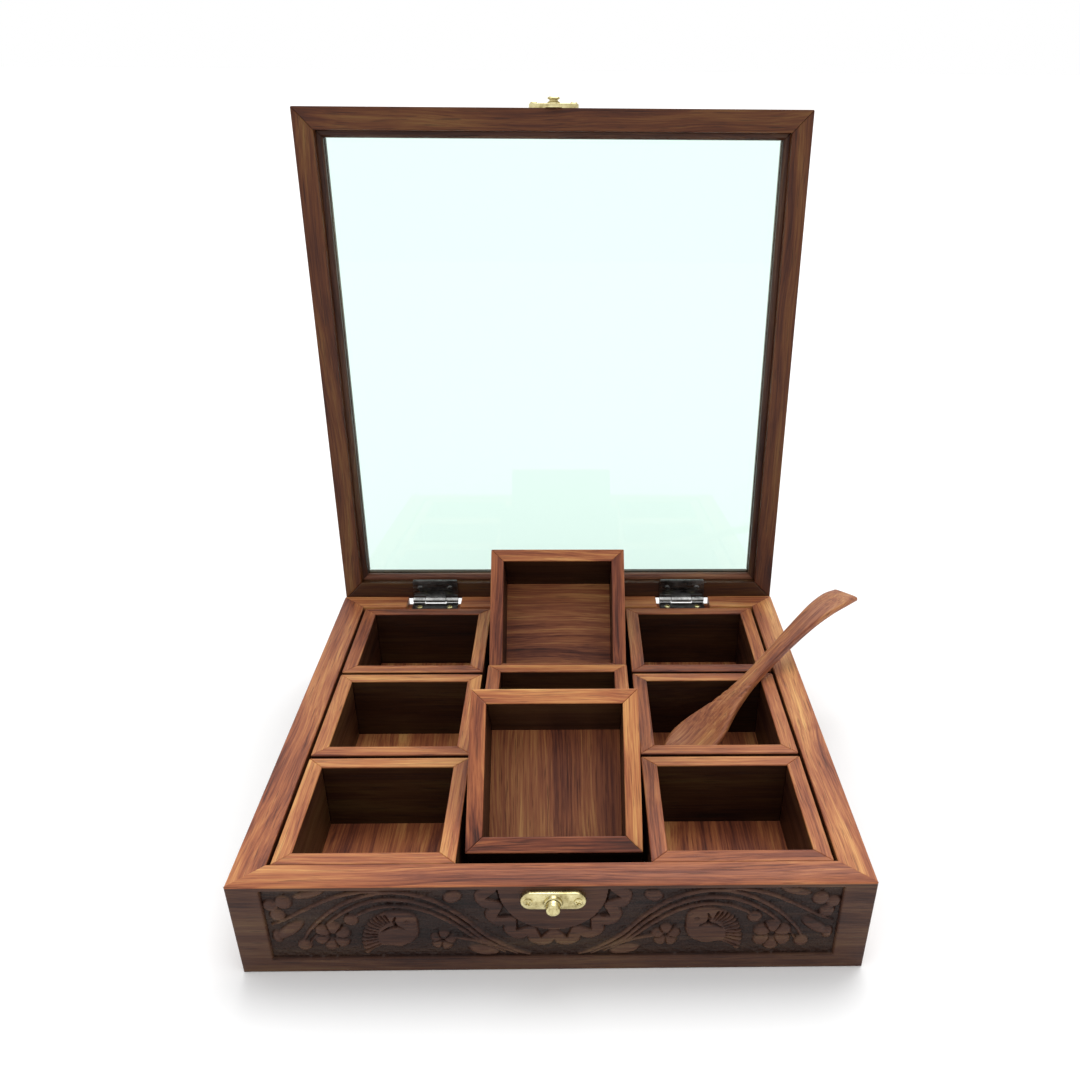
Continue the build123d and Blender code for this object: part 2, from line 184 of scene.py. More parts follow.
def sheesham(name, place=Matrix(), across=False, tone=0.0, value=1.0, saturation=1.0, rim=None,
             hollow=None):
    """Oiled rosewood whose grain runs along the plank's own X, or its Y when across.

    Where rim is given, the wood above that height in the plank's own frame keeps its full colour as
    a painted lit top, and value and saturation dull only what is below it as painted shade. Where
    hollow is given, the wood darkens between those two distances along the plank's own Y, as
    painted shade in the cut ground.
    """
    wood = Finish(name)
    plank = place @ turn(90, "Z") if across else place
    own = wood.add("ShaderNodeMapping", {
        "Vector": wood.coords, "Location": plank.translation * MM, "Rotation": plank.to_euler(),
    }, vector_type="TEXTURE").outputs[0]
    grain = wood.stretched(own, (1, 1, 1), draws.uniform(-0.9, 0.9, 3).tolist())
    bend = wood.noise(wood.stretched(grain, (0.35, 1, 1)), 16, 2)
    sway = wood.add("ShaderNodeCombineXYZ", {
        1: wood.maths("MULTIPLY_ADD", bend, 0.020, -0.010),
        2: wood.maths("MULTIPLY_ADD", bend, -0.014, 0.007),
    }).outputs[0]
    bent = wood.add("ShaderNodeVectorMath", {0: grain, 1: sway}, operation="ADD").outputs[0]
    rings = wood.add("ShaderNodeTexWave", {
        "Vector": wood.stretched(bent, (0.10, 1, 1), (0, *draws.uniform(0.03, 0.09, 2))),
        "Scale": 30.0, "Distortion": 5.0, "Detail": 3.0, "Detail Scale": 1.4, "Detail Roughness": 0.6,
    }, wave_type="RINGS", rings_direction="X").outputs["Fac"]
    streaks = wood.noise(wood.stretched(bent, (7, 230, 230)), 1, 5, 0.68)
    fibres = wood.noise(wood.stretched(bent, (26, 1000, 1000)), 1, 4, 0.68)
    clouds = wood.noise(wood.stretched(grain, (0.42, 1, 1)), 26, 2)
    pores = wood.span(wood.noise(wood.stretched(grain, (70, 2000, 2000)), 1, 1), 0.60, 0.72)
    shade = wood.maths("MULTIPLY_ADD", rings, 0.14, tone)
    shade = wood.maths("MULTIPLY_ADD", wood.span(streaks, 0.25, 0.75), 0.30, shade)
    shade = wood.maths("MULTIPLY_ADD", wood.span(fibres, 0.28, 0.72), 0.30, shade)
    shade = wood.maths("MULTIPLY_ADD", wood.span(clouds, 0.30, 0.70), 0.26, shade)
    bright = wood.ramp(shade, WOOD_STOPS)
    bright = wood.mix(wood.maths("MULTIPLY", pores, 0.5), bright, (0.02, 0.008, 0.005, 1))
    colour = wood.add("ShaderNodeHueSaturation", {
        "Color": bright, "Value": value, "Saturation": saturation, "Hue": 0.5, "Fac": 1.0,
    }).outputs[0]
    # Painted shade: the cut ground darkens the deeper it lies behind the face.
    if hollow is not None:
        depth = wood.add("ShaderNodeSeparateXYZ", {0: own}).outputs[1]
        sunk = wood.span(depth, hollow[0] * MM, hollow[1] * MM)
        colour = wood.mix(sunk, colour, wood.mix(1.0, colour, (0.34, 0.32, 0.34, 1), "MULTIPLY"))
    # Painted light and shade: the top above rim keeps the bright colour, the faces below keep the
    # dulled one.
    if rim is not None:
        height = wood.add("ShaderNodeSeparateXYZ", {0: own}).outputs[2]
        painted_lit_top = wood.span(height, (rim - 0.9) * MM, (rim - 0.3) * MM)
        colour = wood.mix(painted_lit_top, colour, bright)
    wood.give(
        Base_Color=colour,
        Roughness=wood.span(streaks, 0.3, 0.7, 0.52, 0.38),
        Specular_IOR_Level=0.25,
    )
    relief = wood.maths("SUBTRACT", fibres, pores)
    wood.bump(relief, 0.30, 0.0002)
    return wood.material


def brass(name):
    metal = Finish(name)
    tarnish = metal.noise(metal.coords, 260, 4, 0.6)
    brushing = metal.noise(metal.stretched(metal.coords, (90, 2600, 2600)), 1, 3)
    metal.give(
        Base_Color=metal.ramp(tarnish, ((0.30, (0.30, 0.24, 0.10)), (0.50, (0.62, 0.54, 0.28)),
                                        (0.75, (0.82, 0.75, 0.44)))),
        Metallic=1.0,
        Roughness=metal.span(brushing, 0.3, 0.7, 0.20, 0.36),
    )
    metal.bump(brushing, 0.12, 0.00008)
    return metal.material


def steel(name, light):
    metal = Finish(name)
    soil = metal.noise(metal.coords, 180, 4, 0.6)
    scratches = metal.noise(metal.stretched(metal.coords, (120, 1900, 1900)), 1, 3)
    dark = (0.30 * light, 0.30 * light, 0.29 * light)
    bright = (0.80 * light, 0.80 * light, 0.78 * light)
    metal.give(
        Base_Color=metal.ramp(soil, ((0.30, dark), (0.60, bright))),
        Metallic=1.0,
        Roughness=metal.span(scratches, 0.3, 0.7, 0.22, 0.42),
    )
    metal.bump(scratches, 0.15, 0.00008)
    return metal.material


def clear_glass(name):
    pane = Finish(name)
    smudge = pane.noise(pane.coords, 14, 3)
    pane.give(
        Base_Color=(0.70, 0.87, 0.80, 1),
        Roughness=pane.span(smudge, 0.45, 0.75, 0.0, 0.02),
        IOR=1.45,
    )
    pane.give(Transmission_Weight=1.0)
    return pane.material


# ---------------------------------------------------------------- making pieces
def add_piece(name, bm, body, materials, nodes, place=Matrix(), crease=12):
    """Turns a bmesh in millimetres into a finished piece that rides on its body."""
    bm.transform(Matrix.Scale(MM, 4) @ place)
    mesh = bpy.data.meshes.new(name)
    bm.to_mesh(mesh)
    bm.free()
    for material in materials:
        mesh.materials.append(material)
    mesh.shade_smooth()
    mesh.set_sharp_from_angle(angle=radians(crease))
    piece = bpy.data.objects.new(name, mesh)
    bpy.context.scene.collection.objects.link(piece)
    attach(piece, body)
    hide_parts(*nodes)
    return piece


def join(parts):
    """One bmesh out of several (bmesh, place, material index)."""
    whole = bmesh.new()
    for part, place, index in parts:
        part.transform(place)
        for face in part.faces:
            face.material_index = index
        scrap = bpy.data.meshes.new("scrap")
        part.to_mesh(scrap)
        part.free()
        whole.from_mesh(scrap)
        bpy.data.meshes.remove(scrap)
    return whole


def soften(bm, edges, offset, segments=2):
    bmesh.ops.bevel(bm, geom=edges, offset=offset, offset_type="OFFSET", segments=segments,
                    profile=0.5, affect="EDGES", material=-1, clamp_overlap=True)


def mitred_bar(half, profile, edge=0.45):
    """The front bar of a square frame; profile holds (distance in from the outer face, z)."""
    bm = bmesh.new()
    end = bm.faces.new([bm.verts.new((u - half, u - half, z)) for u, z in profile])
    grown = bmesh.ops.extrude_face_region(bm, geom=[end])["geom"]
    for vert in grown:
        if isinstance(vert, bmesh.types.BMVert):
            vert.co.x = -vert.co.x
    bmesh.ops.recalc_face_normals(bm, faces=bm.faces)
    soften(bm, bm.edges[:], edge)
    return bm


def slab(x0, x1, y0, y1, z0, z1, edge=0.3):
    bm = bmesh.new()
    bmesh.ops.create_cube(bm, size=1)
    bmesh.ops.scale(bm, vec=(x1 - x0, y1 - y0, z1 - z0), verts=bm.verts)
    bmesh.ops.translate(bm, vec=((x0 + x1) / 2, (y0 + y1) / 2, (z0 + z1) / 2), verts=bm.verts)
    if edge:
        soften(bm, bm.edges[:], edge)
    return bm


def lathe(profile, steps=40):
    """A closed turned shape about Z from (radius, z) points, both ends on the axis."""
    bm = bmesh.new()
    verts = [bm.verts.new((r, 0, z)) for r, z in profile]
    edges = [bm.edges.new(pair) for pair in zip(verts, verts[1:])]
    bmesh.ops.spin(bm, geom=verts + edges, cent=(0, 0, 0), axis=(0, 0, 1), angle=2 * pi,
                   steps=steps, use_merge=True)
    bmesh.ops.remove_doubles(bm, verts=bm.verts, dist=1e-4)
    bmesh.ops.recalc_face_normals(bm, faces=bm.faces)
    return bm


def cross_head_screw():
    """A low domed head on z = 0 with a cross sunk into it."""
    bm = bmesh.new()
    arm, wide, sink = 1.1, 0.32, 0.5
    corners = [(wide, wide), (wide, arm), (-wide, arm), (-wide, wide), (-arm, wide), (-arm, -wide),
               (-wide, -wide), (-wide, -arm), (wide, -arm), (wide, -wide), (arm, -wide), (arm, wide)]
    cross = [bm.verts.new((x, y, SCREW_HEAD)) for x, y in corners]
    inner = [bm.edges.new((cross[i - 1], cross[i])) for i in range(len(cross))]
    ring = bmesh.ops.create_circle(bm, segments=24, radius=SCREW_HEAD_R * 0.8,
                                   matrix=shift(0, 0, SCREW_HEAD * 0.92))["verts"]
    outer = list({edge for vert in ring for edge in vert.link_edges})
    bmesh.ops.bridge_loops(bm, edges=inner + outer)
    down = bmesh.ops.extrude_edge_only(bm, edges=inner)["geom"]
    floor_verts = [g for g in down if isinstance(g, bmesh.types.BMVert)]
    bmesh.ops.translate(bm, vec=(0, 0, -sink), verts=floor_verts)
    bmesh.ops.contextual_create(bm, geom=[g for g in down if isinstance(g, bmesh.types.BMEdge)])
    for radius, z in ((SCREW_HEAD_R, SCREW_HEAD * 0.45), (SCREW_HEAD_R, 0.0)):
        rim = bmesh.ops.extrude_edge_only(bm, edges=outer)["geom"]
        outer = [g for g in rim if isinstance(g, bmesh.types.BMEdge)]
        for vert in (g for g in rim if isinstance(g, bmesh.types.BMVert)):
            flat = Vector((vert.co.x, vert.co.y)).normalized() * radius
            vert.co = (flat.x, flat.y, z)
    bmesh.ops.contextual_create(bm, geom=outer)
    bmesh.ops.recalc_face_normals(bm, faces=bm.faces)
    return bm


def rounded_plate(width, height, thick, edge):
    """A plate with round ends in the XZ plane, standing on y = 0 and facing -Y."""
    bm = bmesh.new()
    radius, reach = height / 2, (width - height) / 2
    outline = []
    for side, start in ((1, -90), (-1, 90)):
        for step in range(17):
            angle = radians(start + 180 * step / 16)
            outline.append((side * reach + radius * cos(angle), 0, radius * sin(angle)))
    face = bm.faces.new([bm.verts.new(point) for point in outline])
    grown = bmesh.ops.extrude_face_region(bm, geom=[face])["geom"]
    front = [g for g in grown if isinstance(g, bmesh.types.BMVert)]
    bmesh.ops.translate(bm, vec=(0, -thick, 0), verts=front)
    bmesh.ops.recalc_face_normals(bm, faces=bm.faces)
    rim = [e for e in bm.edges if all(v.co.y < -thick / 2 for v in e.verts)]
    soften(bm, rim, edge, 3)
    return bm


# ---------------------------------------------------------------- the carving on the front rail
def smooth_path(points, closed=False, steps=6):
    """A Catmull-Rom curve through rows of numbers."""
    rows = np.array(points, float)
    if closed:
        rows = np.vstack([rows[-1], rows, rows[:2]])
    else:
        rows = np.vstack([2 * rows[0] - rows[1], rows, 2 * rows[-1] - rows[-2]])
    made = []
    for a, b, c, d in zip(rows, rows[1:], rows[2:], rows[3:]):
        for t in np.arange(steps) / steps:
            made.append(0.5 * (2 * b + (c - a) * t + (2 * a - 5 * b + 4 * c - d) * t ** 2
                               + (3 * b - a - 3 * c + d) * t ** 3))
    if not closed:
        made.append(rows[-2])
    return np.array(made)


def inside_stroke(x, z, path):
    """Depth inside a stroke whose rows are x, z and half width; negative outside."""
    best = np.full(x.shape, -9.0)
    for (x0, z0, r0), (x1, z1, r1) in zip(path, path[1:]):
        dx, dz = x1 - x0, z1 - z0
        t = np.clip(((x - x0) * dx + (z - z0) * dz) / (dx * dx + dz * dz), 0, 1)
        best = np.maximum(best, r0 + t * (r1 - r0) - np.hypot(x - x0 - t * dx, z - z0 - t * dz))
    return best


def inside_outline(x, z, outline):
    """Depth inside a closed outline; negative outside."""
    near = np.full(x.shape, 99.0)
    inside = np.zeros(x.shape, bool)
    for (x0, z0), (x1, z1) in zip(outline, np.roll(outline, -1, 0)):
        dx, dz = x1 - x0, z1 - z0
        t = np.clip(((x - x0) * dx + (z - z0) * dz) / max(dx * dx + dz * dz, 1e-9), 0, 1)
        near = np.minimum(near, np.hypot(x - x0 - t * dx, z - z0 - t * dz))
        crosses = (z0 > z) != (z1 > z)
        inside ^= crosses & (x < x0 + (z - z0) * dx / (dz if dz else 1e-9))
    return np.where(inside, near, -near)


def inside_disc(x, z, cx, cz, radius):
    return radius - np.hypot(x - cx, z - cz)


def inside_leaf(x, z, cx, cz, long, wide, angle):
    c, s = cos(radians(angle)), sin(radians(angle))
    u, v = (x - cx) * c + (z - cz) * s, (z - cz) * c - (x - cx) * s
    return (1 - np.hypot(u / long, v / wide)) * min(long, wide)


def ramped(value, low, high):
    t = np.clip((value - low) / (high - low), 0, 1)
    return t * t * (3 - 2 * t)


EDGE = 0.8      # how wide the cut wall beside a raised shape is
DOME = 2.3      # how far in a raised shape is still rounding over


class Relief:
    """Heights of the carving in millimetres; 0 is the face of the rail, negative is cut away."""

    def __init__(self, x, z):
        self.x, self.z = x, z
        self.height = -PANEL_DEPTH + 0.32 * self.punched()

    def punched(self):
        """Round tool marks close together all over the ground, from 0 in a mark to 1 between."""
        pitch = 1.35
        i, j = np.floor(self.x / pitch), np.floor(self.z / pitch)
        near = np.full(self.x.shape, 9.0)
        for di in (-1, 0, 1):
            for dj in (-1, 0, 1):
                a, b = i + di, j + dj
                jx = np.modf(np.abs(np.sin(a * 12.99 + b * 78.23)) * 437.5)[0]
                jz = np.modf(np.abs(np.sin(a * 39.35 + b * 11.14)) * 215.7)[0]
                px, pz = (a + 0.2 + 0.6 * jx) * pitch, (b + 0.2 + 0.6 * jz) * pitch
                near = np.minimum(near, np.hypot(self.x - px, self.z - pz))
        return np.clip(near / (0.62 * pitch), 0, 1)

    def raise_to(self, depth, top=-0.15, round_off=0.9):
        """Lifts what is inside a shape, with a steep wall and a top that rounds over."""
        wall = ramped(depth, -EDGE / 2, EDGE / 2)
        dome = round_off * (1 - np.clip(depth / DOME, 0, 1)) ** 2
        self.height = np.maximum(self.height, -PANEL_DEPTH + wall * (PANEL_DEPTH + top - dome))

    def cut(self, depth, deep, width=0.5):
        """A V cut where depth is inside a stroke."""
        self.height = self.height - deep * np.clip((depth + width / 2) / width, 0, 1)

    def flower(self, cx, cz, reach, lobes, first):
        petal = reach * (0.44 if lobes > 5 else 0.47)
        for lobe in range(lobes):
            angle = radians(first + 360 * lobe / lobes)
            out = reach - petal
            self.raise_to(inside_disc(self.x, self.z, cx + out * cos(angle),
                                      cz + out * sin(angle), petal), 0.0, 1.2)
        for lobe in range(lobes):
            angle = radians(first + 360 * (lobe + 0.5) / lobes)
            line = [(cx + reach * t * cos(angle), cz + reach * t * sin(angle), w)
                    for t, w in ((0.25, 0.15), (0.95, 0.45))]
            self.cut(inside_stroke(self.x, self.z, np.array(line)), 0.8)
        self.cut(inside_disc(self.x, self.z, cx, cz, reach * 0.16), 0.5, 0.7)

    def vines(self, side):
        """Three strands that rise from under the sun and arch over the bird."""
        strands = (
            ((10, 8.2, .7), (16, 10.6, 1.0), (27, 18.5, 1.2), (36, 28.5, 1.2), (46, 36.8, 1.3),
             (57, 41.2, 1.3), (68, 41.6, 1.2), (79, 38.0, 1.2), (89, 31.2, 1.2), (97, 22.5, 1.0),
             (101, 15.5, .8)),
            ((15, 8.6, .7), (27, 15.4, 1.1), (36, 24.8, 1.2), (46, 33.0, 1.2), (57, 37.5, 1.2),
             (68, 38.0, 1.2), (78, 34.6, 1.1), (87, 28.2, 1.0), (94, 20.5, .8), (97.5, 16, .6)),
            ((20, 9.6, .6), (30, 16.0, 1.0), (40, 25.0, 1.1), (50, 31.8, 1.1), (60, 34.6, 1.1),
             (69, 34.0, 1.0), (76, 31.0, .9), (79, 28.6, .8)),
            ((62, 42.0, .6), (74, 42.4, 1.1), (86, 39.4, 1.2), (97, 33.6, 1.1), (106, 28.2, .9),
             (111.5, 25.6, .6)),
            ((28, 14.2, .6), (34, 16.6, 1.0), (40, 17.8, .9), (43, 18.0, .5)),
        )
        for strand in strands:
            path = smooth_path([(side * x, z, r * 0.84) for x, z, r in strand])
            self.raise_to(inside_stroke(self.x, self.z, path), 0.0, 0.9)

    def bird(self, side, shift_x, shift_z):
        """A plump bird that faces the sun, with a hatched fan for its tail and wing."""
        outline = [(53.2, 19), (52.6, 25), (53.4, 30.4), (57, 32.8), (62, 33.2), (67, 31.8),
                   (71.6, 28.4), (74.6, 23.4), (76.2, 17), (75.6, 11.0), (73.6, 9.8), (71.4, 12.4),
                   (67, 14.2), (61, 13.6), (56.6, 15.4)]
        outline = [(side * (x + shift_x), z + shift_z) for x, z in outline]
        self.raise_to(inside_outline(self.x, self.z, smooth_path(outline, True, 4)), 0.0, 1.0)
        x = side * self.x - shift_x
        z = self.z - shift_z
        self.cut(inside_disc(x, z, 57.0, 27.4, 1.0), 0.7, 0.6)
        for line in (((61.4, 25.4, .5), (62.2, 27.8, .45), (61.4, 30.2, .2)),
                     ((61.4, 25.4, .5), (58.2, 23.6, .2)),
                     ((61.4, 25.4, .5), (64.4, 24.4, .45), (67.4, 22.4, .15))):
            self.cut(inside_stroke(x, z, np.array(line)), 1.2)
        hub_x, hub_z = 60.5, 20.5
        for ray in range(13):
            angle = radians(64 - 8.6 * ray)
            near, far = 7.5 + 0.15 * ray, 11.3 + 0.55 * ray
            line = [(hub_x + near * cos(angle), hub_z + near * sin(angle), .12),
                    (hub_x + far * cos(angle), hub_z + far * sin(angle), .42)]
            self.cut(inside_stroke(x, z, np.array(line)), 1.3)

    def sun(self):
        """A plain half disc around the catch inside one ring of broad petals with chips cut in."""
        cz, disc, ring, petals = 44.0, 21.5, 31.5, 8
        chip_out, chip_half = 6.0, 3.6
        radius = np.hypot(self.x, self.z - cz)
        bearing = np.degrees(np.arctan2(self.z - cz, self.x)) % 360
        share = (bearing - 180) / 180 * petals
        place = np.abs(share - np.floor(share) - 0.5) * 2
        scallop = ring - 2.8 * place ** 2.6
        self.raise_to(np.minimum(scallop - radius, radius - disc + 2), -0.2, 0.8)
        out = radius - disc
        in_ring = (out > 0) & (radius < ring)
        chip = chip_half * (1 - out / chip_out) - place / 2 * pi / petals * radius
        self.height = self.height - np.where(in_ring, 1.6 * ramped(chip, -0.1, 0.8), 0)
        self.height = self.height - np.where(in_ring, 0.8 * (1 - ramped(out, 0.2, 1.2)), 0)
        split = np.where(in_ring & (out > chip_out), 0.3 - (1 - place) * 3.0, -9)
        self.cut(split, 0.45, 0.4)
        self.height = np.where(radius < disc, 0.0, self.height)


def carved_height(x, z):
    relief = Relief(x, z)
    for side in (-1, 1):
        relief.vines(side)
        relief.raise_to(inside_leaf(x, z, side * 39.5, 39.4, 4.0, 3.2, -side * 25), -0.25)
        relief.raise_to(inside_leaf(x, z, side * 28.5, 10.6, 6.4, 2.7, side * 12), -0.15)
        relief.raise_to(inside_leaf(x, z, side * 95.5, 41.2, 6.5, 2.0, side * -14), -0.1)
        relief.raise_to(inside_leaf(x, z, side * 105.0, 22.6, 7.2, 2.8, side * -38), -0.2)
        relief.raise_to(inside_disc(x, z, side * 80.3, 27.6, 3.0), -0.15, 0.8)
        relief.raise_to(inside_disc(x, z, side * 100.2, 14.4, 3.0), -0.15, 0.8)
        relief.raise_to(inside_leaf(x, z, side * 110.4, 19.0, 2.2, 3.6, 0), -0.3)
        relief.raise_to(inside_disc(x, z, side * 105.6, 37.2, 3.5), -0.25, 0.8)
        relief.raise_to(inside_disc(x, z, side * 110.8, 35.6, 3.1), -0.25, 0.8)
        relief.raise_to(inside_disc(x, z, side * 108.8, 30.6, 3.2), -0.25, 0.8)
    relief.bird(1, 0.0, 0.0)
    relief.bird(-1, 1.2, -0.6)
    relief.flower(45.0, 18.2, 6.2, 5, 90)
    relief.flower(-44.7, 16.4, 5.6, 5, 80)
    relief.flower(88.0, 18.0, 8.4, 6, 30)
    relief.flower(-88.6, 19.2, 7.8, 6, 20)
    relief.sun()
    wobble = 0.12 * np.sin(x * 0.9 + 1.7 * np.sin(z * 0.7)) * np.sin(z * 1.1 + x * 0.2)
    carved = np.minimum(relief.height + wobble * (relief.height < -0.3), 0.0)
    from_edge = np.minimum(PANEL_HALF - np.abs(x), np.minimum(z - PANEL_LOW, PANEL_HIGH - z))
    return carved * ramped(from_edge, -0.3, 0.35)


def front_rail():
    """The carved rail: a fine grid for its face, then a plain mitred back."""
    across, up = 690, 126
    bm = bmesh.new()
    bmesh.ops.create_grid(bm, x_segments=across, y_segments=up, size=0.5,
                          matrix=turn(90, "X"))
    bmesh.ops.scale(bm, vec=(TRAY_SIDE, 1, TRAY_HEIGHT), verts=bm.verts)
    bmesh.ops.translate(bm, vec=(0, -HALF, TRAY_HEIGHT / 2), verts=bm.verts)
    bm.verts.ensure_lookup_table()
    place = np.array([v.co for v in bm.verts])
    x, z = place[:, 0], place[:, 2]
    height = carved_height(x, z)
    from_rim = np.minimum(HALF - np.abs(x), np.minimum(z, TRAY_HEIGHT - z))
    height = height - 0.4 * (from_rim < 0.1)
    for vert, value in zip(bm.verts, height.tolist()):
        vert.co.y -= value
    rim = [e for e in bm.edges if e.is_boundary]
    grown = bmesh.ops.extrude_edge_only(bm, edges=rim)["geom"]
    back = [g for g in grown if isinstance(g, bmesh.types.BMVert)]
    for vert in back:
        vert.co.y = RAIL - HALF
        vert.co.x *= (HALF - RAIL) / HALF
    bmesh.ops.contextual_create(bm, geom=[g for g in grown if isinstance(g, bmesh.types.BMEdge)])
    bmesh.ops.recalc_face_normals(bm, faces=bm.faces)
    return bm


# ---------------------------------------------------------------- tray
def plain_profile(wall, z0, z1):
    return [(0, z0), (wall, z0), (wall, z1), (0, z1)]


def back_rail():
    """The back rail with a shallow notch for each hinge, drawn from the back and mitred."""
    low, high = 0.0, TRAY_HEIGHT
    half = NOTCH_WIDTH / 2
    outline = [(-HALF, low), (HALF, low), (HALF, high)]
    for centre in (HINGE_X, -HINGE_X):
        outline += [(centre + half, high), (centre + half, NOTCH_FLOOR),
                    (centre - half, NOTCH_FLOOR), (centre - half, high)]
    outline.append((-HALF, high))
    bm = bmesh.new()
    face = bm.faces.new([bm.verts.new((x, HALF, z)) for x, z in outline])
    grown = bmesh.ops.extrude_face_region(bm, geom=[face])["geom"]
    for vert in (g for g in grown if isinstance(g, bmesh.types.BMVert)):
        vert.co.y -= RAIL
        if abs(vert.co.x) > HALF - 1:
            vert.co.x -= copysign(RAIL, vert.co.x)
    bmesh.ops.recalc_face_normals(bm, faces=bm.faces)
    soften(bm, bm.edges[:], 0.4)
    return bm


def make_tray():
    rim = TRAY_HEIGHT
    face = -HALF
    # Painted shade: the carved face is dulled below the rim, whose top keeps its full colour, and the
    # cut ground is darker still.
    front_wood = sheesham("carved_rail_wood", value=0.17, saturation=0.92, rim=rim,
                          hollow=(face + 0.5, face + 1.9))
    add_piece("tray_front", front_rail(), "tray", [front_wood], ["tray_front_rail"],
              crease=50)
    # Painted shade: the side rails are dulled below the rim.
    for name, quarter, tone in (("right", 1, 0.06), ("left", 3, 0.0)):
        bar = mitred_bar(HALF, plain_profile(RAIL, 0, TRAY_HEIGHT), 0.5)
        wood = sheesham(f"{name}_rail_wood", across=True, tone=tone, value=0.3, rim=rim)
        add_piece(f"tray_{name}", bar, "tray", [wood], [f"tray_{name}_rail"],
                  turn(90 * quarter, "Z"))
    # Painted shade: the back rail is dulled below the notch floor.
    wood = sheesham("back_rail_wood", value=0.3, rim=NOTCH_FLOOR)
    add_piece("tray_back", back_rail(), "tray", [wood], ["tray_back_rail"])
    inner = HALF - RAIL
    base = slab(-inner, inner, -inner, inner, 0, BASE_THICK, 0.2)
    add_piece("tray_base", base, "tray", [sheesham("base_panel_wood", value=0.45)],
              ["tray_base_panel"])


# ---------------------------------------------------------------- spice boxes
# How light each box's rims are: front, right, back and left. Partly the wood's own tone from box to
# box, partly painted shade: the rear rows are darker where the open lid shades them.
RIM_TONE_AND_SHADE = {
    "front_left": (0.12, 0.12, 0.16, 0.06),
    "front_centre": (-0.24, 0.12, 0.04, -0.08),
    "front_right": (-0.04, 0.0, 0.02, -0.02),
    "mid_left": (0.08, 0.08, 0.10, 0.12),
    "mid_centre": (0.0, -0.02, 0.04, -0.10),
    "mid_right": (0.04, -0.02, -0.02, -0.08),
    "rear_left": (-0.08, 0.04, -0.04, -0.10),
    "rear_centre": (-0.04, -0.14, -0.06, -0.08),
    "rear_right": (-0.02, -0.14, -0.12, -0.12),
}


def make_box(row, column):
    name = f"{row}_{column}_box"
    place = box_place(row, column)
    to_edge = shift(0, BOX_SIDE / 2, 0)
    profile = plain_profile(BOX_WALL, 0, BOX_HEIGHT)
    bars = [(mitred_bar(BOX_SIDE / 2, profile, 0.45), turn(90 * quarter, "Z"), quarter)
            for quarter in range(4)]
    # Painted shade: each wall is dulled below its rim, the front and back walls more than the sides,
    # while the rim tops keep their full colour.
    walls = [sheesham(f"{name}_wood_{quarter}", place, quarter % 2 == 1, tone,
                      0.16 if quarter % 2 else 0.08, 1.0, BOX_HEIGHT)
             for quarter, tone in enumerate(RIM_TONE_AND_SHADE[f"{row}_{column}"])]
    add_piece(f"{name}_frame", join(bars), name, walls, [f"{name}_walls"],
              place @ to_edge)
    inside = BOX_SIDE / 2 - BOX_WALL
    floor = slab(-inside, inside, -inside, inside, BOX_FLOOR_LIFT, BOX_FLOOR_LIFT + BOX_FLOOR, 0.15)
    leans_back = (row, column) == ("rear", "centre")
    wood = sheesham(f"{name}_floor_wood", place, not leans_back, -0.04, 0.95)
    add_piece(f"{name}_bottom", floor, name, [wood], [f"{name}_floor"],
              place @ to_edge)


# ---------------------------------------------------------------- lid
def make_lid():
    low, high = TRAY_HEIGHT, TRAY_HEIGHT + LID_THICK
    rebate = RAIL - RABBET_WIDTH
    profile = [(0, low), (rebate, low), (rebate, high - LIP_THICK), (RAIL, high - LIP_THICK),
               (RAIL, high), (0, high)]
    sides = (("front", "front_rail"), ("right", "right_stile"), ("back", "back_rail"),
             ("left", "left_stile"))
    for quarter, (side, node) in enumerate(sides):
        # Painted shade: the lid frame is darkened all over, its back rail most.
        value = 0.12 if side == "back" else 0.26
        wood = sheesham(f"lid_{side}_wood", OPEN_LID, quarter % 2 == 1, 0.0, value, 1.05)
        add_piece(f"lid_{side}", mitred_bar(HALF, profile, 0.5), "lid", [wood],
                  [f"lid_{node}"], OPEN_LID @ turn(90 * quarter, "Z"))
    bead_top = high - LIP_THICK - GLASS_THICK
    bead = [(0, bead_top - BEAD_HEIGHT), (RABBET_WIDTH - 1.2, bead_top - BEAD_HEIGHT),
            (RABBET_WIDTH, bead_top - BEAD_HEIGHT + 1.6), (RABBET_WIDTH, bead_top), (0, bead_top)]
    for quarter, (side, _) in enumerate(sides):
        # Painted light and shade: the back bead is kept lighter, the other beads are darkened.
        value = 0.50 if side == "back" else 0.20
        wood = sheesham(f"bead_{side}_wood", OPEN_LID, quarter % 2 == 1, 0.0, value, 0.9)
        add_piece(f"bead_{side}", mitred_bar(HALF - rebate, bead, 0.3), "lid", [wood],
                  [f"glass_bead_{side}"], OPEN_LID @ turn(90 * quarter, "Z"))
    half = HALF - rebate - GLASS_GAP
    pane = slab(-half, half, -half, half, bead_top, bead_top + GLASS_THICK, 0.25)
    add_piece("glass_pane", pane, "lid", [clear_glass("pale_glass")], ["lid_glass_pane"],
              OPEN_LID)


# ---------------------------------------------------------------- hinges
def leaf_plate(z):
    """A leaf with rounded free corners whose lower face is at z."""
    back = HALF - KNUCKLE_R - KNUCKLE_GAP
    bm = slab(-HINGE_WIDTH / 2, HINGE_WIDTH / 2, HALF - LEAF_REACH, back, z, z + LEAF_THICK, 0)
    corners = [e for e in bm.edges if all(v.co.y < HALF - LEAF_REACH + 0.1 for v in e.verts)
               and abs(e.verts[0].co.x - e.verts[1].co.x) < 0.1]
    soften(bm, corners, 1.2, 5)
    soften(bm, [e for e in bm.edges if e.calc_face_angle(0) > 0.9], 0.15, 2)
    return bm


